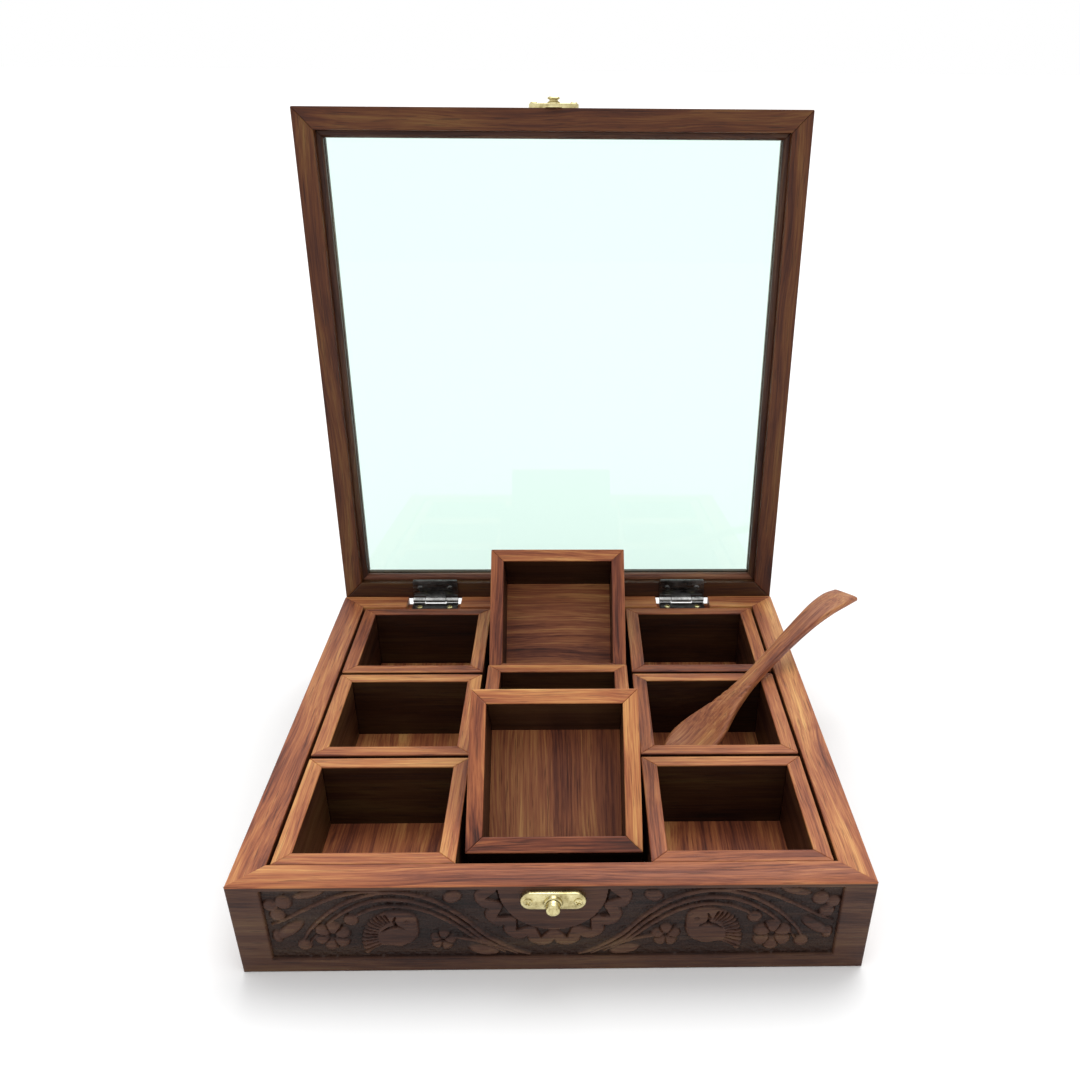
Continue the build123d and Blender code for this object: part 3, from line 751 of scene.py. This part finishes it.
def knuckle(x0, x1, leaf_z):
    """A rolled barrel with the strip that ties it to its leaf."""
    length = x1 - x0
    barrel = lathe([(PIN_R, 0), (KNUCKLE_R - 0.15, 0), (KNUCKLE_R, 0.15), (KNUCKLE_R, length - 0.15),
                    (KNUCKLE_R - 0.15, length), (PIN_R, length), (PIN_R, 0)], 32)
    strip = slab(x0, x1, HALF - KNUCKLE_R - KNUCKLE_GAP - 0.5, HALF - 1.0, leaf_z,
                 leaf_z + LEAF_THICK, 0.1)
    to_axis = shift(x0, HALF, HINGE_AXIS_Z) @ turn(90, "Y")
    return [(barrel, to_axis, 1), (strip, Matrix(), 0)]


def make_hinges():
    # Painted shade: the leaves and the lid-side screw heads get a darkened copy of the steel; the
    # barrels and pins get a light one.
    dark, bright, screws = steel("shaded_leaf_steel", 0.16), steel("barrel_steel", 0.9), brass("screw_brass")
    half, middle = HINGE_WIDTH / 2, MIDDLE_KNUCKLE / 2
    upper_z = TRAY_HEIGHT - LEAF_THICK
    screw_xs = (-HINGE_SCREW_SPREAD / 2, HINGE_SCREW_SPREAD / 2)
    for side, centre in (("left", -HINGE_X), ("right", HINGE_X)):
        at = shift(centre, 0, 0)
        lower = [(leaf_plate(NOTCH_FLOOR), Matrix(), 0)]
        lower += knuckle(-half, -middle - KNUCKLE_GAP, NOTCH_FLOOR)
        lower += knuckle(middle + KNUCKLE_GAP, half, NOTCH_FLOOR)
        add_piece(f"{side}_lower_leaf", join(lower), "tray", [dark, bright],
                  [f"{side}_hinge_lower_leaf"], at, 32)
        upper = [(leaf_plate(upper_z), Matrix(), 0)] + knuckle(-middle, middle, upper_z)
        add_piece(f"{side}_upper_leaf", join(upper), "lid", [dark, bright],
                  [f"{side}_hinge_upper_leaf"], OPEN_LID @ at, 32)
        pin = lathe([(0, 0), (PIN_R - 0.2, 0), (PIN_R, 0.2), (PIN_R, HINGE_WIDTH - 0.2),
                     (PIN_R - 0.2, HINGE_WIDTH), (0, HINGE_WIDTH)], 24)
        add_piece(f"{side}_pin", pin, "tray", [bright], [f"{side}_hinge_pin"],
                  at @ shift(-half, HALF, HINGE_AXIS_Z) @ turn(90, "Y"), 32)
        heads = [(cross_head_screw(), shift(x, HINGE_SCREW_Y, NOTCH_FLOOR + LEAF_THICK)
                  @ turn(20 + 31 * x, "Z"), 0) for x in screw_xs]
        add_piece(f"{side}_lower_screw_heads", join(heads), "tray", [screws],
                  [f"{side}_hinge_lower_screws"], at, 32)
        # Painted shade: these lid-side heads take the darkened leaf steel.
        heads = [(cross_head_screw(), shift(x, HINGE_SCREW_Y, upper_z) @ turn(180, "X")
                  @ turn(35 * x, "Z"), 0) for x in screw_xs]
        add_piece(f"{side}_upper_screw_heads", join(heads), "lid", [dark],
                  [f"{side}_hinge_upper_screws"], OPEN_LID @ at, 32)


# ---------------------------------------------------------------- catch and strike
def facing_front(x, y, z, roll=0):
    """From a shape's own Z to the model's -Y."""
    return shift(x, y, z) @ turn(90, "X") @ turn(roll, "Z")


def make_catch():
    metal = brass("catch_brass")
    dull = brass("button_brass")
    plate = rounded_plate(CATCH_WIDTH, CATCH_HEIGHT, CATCH_THICK, 0.55)
    face = -HALF - CATCH_THICK
    bore = BUTTON_R + 0.2
    housing = lathe([(bore, 0), (HOUSING_R, 0), (HOUSING_R - 0.35, 0.3),
                     (HOUSING_R - 0.45, HOUSING_OUT - 0.3), (HOUSING_R - 0.8, HOUSING_OUT),
                     (bore, HOUSING_OUT), (bore, 0)], 48)
    parts = [(plate, shift(0, -HALF, CATCH_Z), 0), (housing, facing_front(0, face, CATCH_Z), 0)]
    add_piece("catch_body", join(parts), "tray", [metal], ["catch_plate"], crease=32)
    heads = [(cross_head_screw(), facing_front(side * CATCH_SCREW_SPREAD / 2, face, CATCH_Z,
                                               45 + 17 * side), 0) for side in (-1, 1)]
    add_piece("catch_screw_heads", join(heads), "tray", [metal], ["catch_screws"],
              crease=32)
    button = lathe([(0, 0.2), (BUTTON_R, 0.2), (BUTTON_R, BUTTON_OUT - 0.8),
                    (BUTTON_R - 0.25, BUTTON_OUT - 0.25), (BUTTON_R - 0.8, BUTTON_OUT),
                    (BUTTON_R - 1.1, BUTTON_OUT), (BUTTON_R - 1.4, BUTTON_OUT - 0.25),
                    (0, BUTTON_OUT - 0.32)], 48)
    stem = lathe([(0, 0), (1.6, 0), (1.6, 12), (0, 12)], 32)
    collar = lathe([(0, 0), (2.6, 0), (2.6, 0.8), (0, 0.8)], 32)
    parts = [(button, facing_front(0, face, CATCH_Z), 0),
             (stem, facing_front(0, face - 0.2 + 12.2, CATCH_Z), 0),
             (collar, facing_front(0, -HALF + TOUCH_GAP + 0.8, CATCH_Z), 0)]
    add_piece("catch_push_button", join(parts), "catch_button", [dull], ["catch_button"],
              crease=32)
    plate = rounded_plate(STRIKE_WIDTH, CATCH_HEIGHT, STRIKE_THICK, 0.5)
    knob = lathe([(0, 0), (KNOB_R, 0), (KNOB_R, 0.6), (KNOB_R - 1.0, 1.1), (KNOB_R - 1.0, 1.5),
                  (KNOB_R - 0.1, KNOB_OUT - 1.0), (KNOB_R, KNOB_OUT - 0.6),
                  (KNOB_R - 0.6, KNOB_OUT - 0.15), (0, KNOB_OUT)], 48)
    tongue = slab(-4, 4, -HALF - 1.2, -HALF, TRAY_HEIGHT - 3.9, STRIKE_Z, 0.2)
    parts = [(plate, shift(0, -HALF, STRIKE_Z), 0), (tongue, Matrix(), 0),
             (knob, facing_front(0, -HALF - STRIKE_THICK, STRIKE_Z), 0)]
    add_piece("strike", join(parts), "lid", [metal], ["strike_plate"], OPEN_LID, 32)
    heads = [(cross_head_screw(), facing_front(side * CATCH_SCREW_SPREAD / 2, -HALF - STRIKE_THICK,
                                               STRIKE_Z, 20 * side), 0) for side in (-1, 1)]
    add_piece("strike_screw_heads", join(heads), "lid", [metal], ["strike_screws"],
              OPEN_LID, 32)
    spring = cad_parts["catch_spring"]
    spring.data.materials.clear()
    spring.data.materials.append(steel("spring_steel", 1.0))


# ---------------------------------------------------------------- spoon
SPOON_AZIMUTH, SPOON_INCLINE, SPOON_RIM_CLEAR, SPOON_TIP_CLEAR = 44.6, 15.6, 5.6, 12.0
SPOON_CROSSING = 0.435 * BOX_SIDE


def spoon_place():
    """From the spoon's own frame, tip at the origin and handle along +X, to where it lies."""
    to_wall = SPOON_CROSSING + BOX_SIDE / 2 - BOX_WALL
    reach = to_wall / (cos(radians(SPOON_AZIMUTH)) * cos(radians(SPOON_INCLINE))) - SPOON_TIP_CLEAR
    crossing = shift(BOX_PITCH + SPOON_CROSSING, (BOX_SIDE - BOX_WALL) / 2,
                     BOX_RIM + SPOON_RIM_CLEAR)
    return (crossing @ turn(SPOON_AZIMUTH, "Z") @ turn(-SPOON_INCLINE, "Y")
            @ shift(-reach, 0, 0))


def make_spoon():
    """One ring of points drawn out along the spoon; its shape follows rows of sections."""
    # along, half width, top, underside, hollow, sideways
    rows = smooth_path([
        (0.0, 0.6, -0.4, -1.2, 0.0, 0.0), (3.0, 6.2, 0.0, -3.2, 0.9, 0.0),
        (9.0, 10.6, 0.3, -5.4, 2.6, 0.0), (18.0, 12.8, 0.3, -6.0, 3.6, 0.0),
        (28.0, 11.8, 0.5, -5.6, 3.0, 0.0), (37.0, 9.2, 1.0, -4.6, 1.6, 0.0),
        (45.0, 7.0, 1.6, -3.6, 0.5, 0.0), (56.0, 5.0, 2.2, -2.9, 0.0, 0.2),
        (67.0, 4.0, 2.9, -2.3, 0.0, 0.5), (82.0, 3.9, 3.9, -1.3, 0.0, 0.8),
        (99.0, 4.6, 4.8, 0.0, 0.0, 0.8), (116.0, 5.8, 5.2, 0.9, 0.0, 0.6),
        (130.0, 7.2, 4.4, 0.6, 0.0, 0.2), (142.0, 8.0, 2.2, -1.4, 0.0, -0.3),
        (151.0, 7.4, -0.8, -4.0, 0.0, -0.8)], steps=10)
    bm = bmesh.new()
    ring = bmesh.ops.create_circle(bm, segments=36, radius=1, matrix=turn(90, "Y"))["verts"]
    edges = list({edge for vert in ring for edge in vert.link_edges})
    bmesh.ops.contextual_create(bm, geom=edges)
    bearing = {vert: atan2(vert.co.z, vert.co.y) for vert in ring}
    for index, (along, half, top, under, hollow, side) in enumerate(rows):
        if index:
            grown = bmesh.ops.extrude_edge_only(bm, edges=edges)["geom"]
            edges = [g for g in grown if isinstance(g, bmesh.types.BMEdge)]
            fresh = [g for g in grown if isinstance(g, bmesh.types.BMVert)]
            at = {v.co.to_tuple(4): angle for v, angle in bearing.items()}
            bearing = {v: at[v.co.to_tuple(4)] for v in fresh}
        square = 0.42 + 0.58 * max(0.0, 50 - along) / 50
        middle, thick = (top + under) / 2, (top - under) / 2
        for vert, angle in bearing.items():
            c, s = cos(angle), sin(angle)
            y = half * copysign(abs(c) ** square, c)
            z = middle + thick * copysign(abs(s) ** square, s)
            if s > 0:
                z -= hollow * (1 - min(abs(y) / max(half - 1.2, 0.2), 1) ** 2)
                for groove in (49.0, 53.5, 58.0):
                    z -= 0.8 * max(0.0, 1 - abs(along - groove + 0.9 * y) / 1.2)
            vert.co = (along, y + side, z)
    bmesh.ops.contextual_create(bm, geom=edges)
    bmesh.ops.recalc_face_normals(bm, faces=bm.faces)
    place = spoon_place()
    wood = sheesham("spoon_wood", place, False, 0.0, 0.8)
    add_piece("wooden_spoon", bm, "spoon", [wood], ["spoon"], place, 45)


# ---------------------------------------------------------------- room
def make_room():
    """A wide pale floor, an even white surround and one soft light above."""
    bm = bmesh.new()
    bmesh.ops.create_grid(bm, x_segments=1, y_segments=1, size=60)
    mesh = bpy.data.meshes.new("floor")
    bm.to_mesh(mesh)
    bm.free()
    floor = bpy.data.objects.new("floor", mesh)
    bpy.context.scene.collection.objects.link(floor)
    paper = Finish("pale_paper")
    paper.give(Base_Color=(0.93, 0.93, 0.93, 1), Roughness=0.9, Specular_IOR_Level=0.1)
    mesh.materials.append(paper.material)
    world = bpy.data.worlds.new("surround")
    bpy.context.scene.world = world
    world.use_nodes = True
    background = world.node_tree.nodes["Background"]
    background.inputs["Color"].default_value = (1, 1, 1, 1)
    background.inputs["Strength"].default_value = 1.0
    lamp = bpy.data.lights.new("high_soft_light", "SUN")
    lamp.energy, lamp.angle = 1.3, radians(40)
    light = bpy.data.objects.new("high_soft_light", lamp)
    light.rotation_euler = (radians(-28), radians(8), 0)
    bpy.context.scene.collection.objects.link(light)


def make_camera():
    data = bpy.data.cameras.new("camera")
    data.sensor_width = 36.0
    data.lens = 34.0
    data.shift_x, data.shift_y = -0.049, 0.1564
    data.clip_start, data.clip_end = 0.02, 100
    camera = bpy.data.objects.new("camera", data)
    camera.location = (0.00781, -0.42486, 0.31475)
    camera.matrix_world = (
        Matrix.Translation(camera.location) @ turn(-1.36, "Z") @ turn(90 - 32.26, "X")
        @ turn(0.47, "Z"))
    bpy.context.scene.collection.objects.link(camera)
    bpy.context.scene.camera = camera


make_room()
make_camera()
make_tray()
for row in ROWS:
    for column in COLUMNS:
        make_box(row, column)
make_lid()
make_hinges()
make_catch()
make_spoon()
bpy.context.scene.view_settings.view_transform = "Standard"
